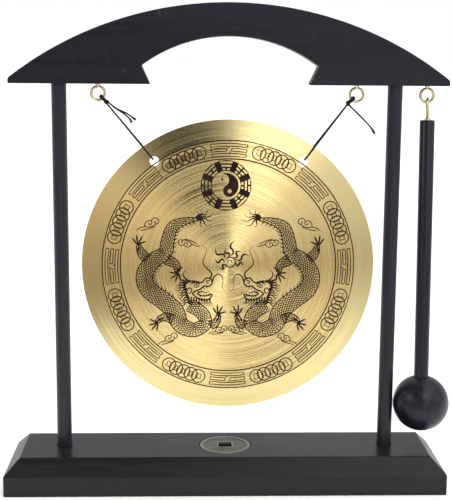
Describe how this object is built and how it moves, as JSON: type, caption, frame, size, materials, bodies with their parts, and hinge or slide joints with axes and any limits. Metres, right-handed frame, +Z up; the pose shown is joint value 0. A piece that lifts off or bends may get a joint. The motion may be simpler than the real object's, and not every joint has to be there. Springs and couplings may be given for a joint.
{
  "type": "tabletop gong",
  "caption": "Brass disc gong hung on cords under an arched black wooden stand, with a ball mallet on a hook and a coin let into the base.",
  "frame": {"origin": "middle of the base's flat underside", "axes": "+Z up, front of the gong towards -Y, mallet at the +X end"},
  "size_m": [0.2307, 0.0534, 0.2468],
  "materials": {
    "black_wood": "satin black stain and lacquer with faint grain",
    "mallet_wood": "satin black lacquer, smoother than the stand",
    "gong_brass": "lathe-brushed face, polished flange, dark printed ornament",
    "brass_wire": "bright plated wire",
    "coin_metal": "aged grey-green, worn raised rims",
    "screw_steel": "zinc plated",
    "black_cord": "twisted waxed cord"
  },
  "bodies": {
    "stand": {"base": "black_wood", "coin": "coin_metal", "post_left": "black_wood", "post_right": "black_wood", "base_screw_left": "screw_steel", "base_screw_right": "screw_steel", "crossbar": "black_wood", "gong_eye_left": "brass_wire", "gong_eye_right": "brass_wire", "mallet_eye": "brass_wire"},
    "gong": {"gong_disc": "gong_brass", "cord_loop_left": "black_cord", "cord_knot_left": "black_cord", "cord_strand_left": "black_cord", "cord_tail_a_left": "black_cord", "cord_tail_b_left": "black_cord", "cord_loop_right": "black_cord", "cord_knot_right": "black_cord", "cord_strand_right": "black_cord", "cord_tail_a_right": "black_cord", "cord_tail_b_right": "black_cord"},
    "mallet": {"mallet_hook": "brass_wire", "mallet_stick": "mallet_wood", "mallet_head": "mallet_wood"}
  },
  "joints": [
    {"name": "gong_swing", "type": "hinge", "parent": "stand", "child": "gong", "pos_m": [0, 0, 0.19953], "axis": [1, 0, 0], "range_deg": [-40, 40]},
    {"name": "mallet_swing", "type": "hinge", "parent": "stand", "child": "mallet", "pos_m": [0.101, 0, 0.19855], "axis": [1, 0, 0], "range_deg": [-60, 60]}
  ]
}
